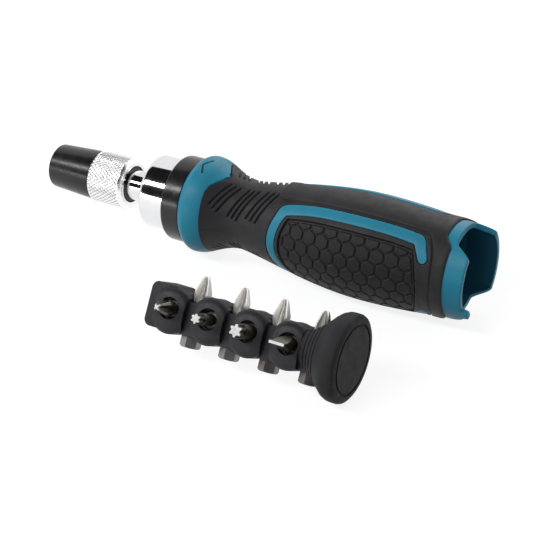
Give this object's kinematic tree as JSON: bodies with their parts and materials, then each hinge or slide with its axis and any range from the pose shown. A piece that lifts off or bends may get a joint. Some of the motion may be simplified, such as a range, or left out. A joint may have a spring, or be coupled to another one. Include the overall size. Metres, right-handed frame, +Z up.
{
  "type": "ratcheting screwdriver",
  "caption": "Ratcheting screwdriver with a quick-release hexagonal bit holder, a direction selector ring and a bit cartridge stored in its hollow two-material handle.",
  "frame": {"origin": "centre of the nose cap's open mouth", "axes": "+X along the driver from the nose to the open rear of the handle, +Z up with the direction mark on top, the cartridge lies at -Y"},
  "size_m": [0.1854, 0.1008, 0.0398],
  "materials": {
    "black_anodised": "gloss black anodised",
    "chrome": "bright plated",
    "spring_steel": "bright drawn",
    "blackened_steel": "blackened",
    "tool_steel": "ground",
    "bronze": "sintered",
    "gloss_black": "glossy moulded",
    "teal_plastic": "semi-gloss moulded",
    "black_rubber": "soft moulded",
    "panel_rubber": "hexagon textured",
    "black_plastic": "satin moulded",
    "cap_rubber": "soft moulded",
    "bit_steel": "satin steel"
  },
  "bodies": {
    "handle": {"handle_core": "teal_plastic", "soft_grip": "black_rubber", "near_grip_panel": "panel_rubber", "far_grip_panel": "panel_rubber", "ratchet_housing": "chrome", "front_bush": "bronze", "rear_bush": "bronze", "pawl_pin": "tool_steel"},
    "spindle": {"spindle": "chrome", "socket_magnet": "blackened_steel", "ratchet_gear": "tool_steel", "spindle_circlip": "spring_steel", "front_clip": "spring_steel", "rear_clip": "blackened_steel", "spring_washer": "blackened_steel", "sleeve_spring": "spring_steel"},
    "sleeve": {"nose_cap": "black_anodised", "knurled_collar": "chrome"},
    "lock_ball": {"locking_ball": "spring_steel"},
    "selector": {"selector_ring": "gloss_black", "selector_plunger": "spring_steel", "plunger_spring": "spring_steel"},
    "pawl": {"rocker_pawl": "tool_steel"},
    "cartridge": {"bit_carrier": "black_plastic", "cartridge_cap": "cap_rubber"},
    "cross_bit_front": {"cross_bit_front": "bit_steel"},
    "star_bit_small": {"star_bit_small": "bit_steel"},
    "star_bit_large": {"star_bit_large": "bit_steel"},
    "slotted_bit": {"slotted_bit": "bit_steel"},
    "cross_bit_1": {"cross_bit_1": "bit_steel"},
    "cross_bit_2": {"cross_bit_2": "bit_steel"},
    "cross_bit_3": {"cross_bit_3": "bit_steel"},
    "cross_bit_4": {"cross_bit_4": "bit_steel"}
  },
  "joints": [
    {"name": "drive_spin", "type": "hinge", "parent": "handle", "child": "spindle", "pos_m": [0, 0, 0], "axis": [1, 0, 0], "continuous": true},
    {"name": "sleeve_slide", "type": "slide", "parent": "spindle", "child": "sleeve", "axis": [1, 0, 0], "range_m": [0, 0.0035], "deforming": ["sleeve_spring"]},
    {"name": "ball_lift", "type": "slide", "parent": "spindle", "child": "lock_ball", "axis": [0, 0, 1], "range_m": [0, 0.00053]},
    {"name": "selector_turn", "type": "hinge", "parent": "handle", "child": "selector", "pos_m": [0.0627, 0, 0], "axis": [1, 0, 0], "range_deg": [-15, 15]},
    {"name": "pawl_rock", "type": "hinge", "parent": "handle", "child": "pawl", "pos_m": [0.0627, 0, 0.0104], "axis": [1, 0, 0], "range_deg": [-5, 5]},
    {"name": "cartridge_slide", "type": "slide", "parent": "handle", "child": "cartridge", "axis": [1, 0, 0], "range_m": [0, 0.075]},
    {"name": "cross_bit_front_slide", "type": "slide", "parent": "cartridge", "child": "cross_bit_front", "axis": [0, -0.866, 0.5], "range_m": [-0.0038, 0.0142]},
    {"name": "star_bit_small_slide", "type": "slide", "parent": "cartridge", "child": "star_bit_small", "axis": [0, -0.866, 0.5], "range_m": [-0.0038, 0.0142]},
    {"name": "star_bit_large_slide", "type": "slide", "parent": "cartridge", "child": "star_bit_large", "axis": [0, -0.866, 0.5], "range_m": [-0.0038, 0.0142]},
    {"name": "slotted_bit_slide", "type": "slide", "parent": "cartridge", "child": "slotted_bit", "axis": [0, -0.866, 0.5], "range_m": [-0.0038, 0.0142]},
    {"name": "cross_bit_1_slide", "type": "slide", "parent": "cartridge", "child": "cross_bit_1", "axis": [0, 0.5, 0.866], "range_m": [0, 0.018]},
    {"name": "cross_bit_2_slide", "type": "slide", "parent": "cartridge", "child": "cross_bit_2", "axis": [0, 0.5, 0.866], "range_m": [0, 0.018]},
    {"name": "cross_bit_3_slide", "type": "slide", "parent": "cartridge", "child": "cross_bit_3", "axis": [0, 0.5, 0.866], "range_m": [0, 0.018]},
    {"name": "cross_bit_4_slide", "type": "slide", "parent": "cartridge", "child": "cross_bit_4", "axis": [0, 0.5, 0.866], "range_m": [0, 0.018]}
  ],
  "couplings": [
    {"joint": "ball_lift", "follows": "sleeve_slide", "ratio": 0.15143},
    {"joint": "pawl_rock", "follows": "selector_turn", "ratio": 0.33333}
  ]
}
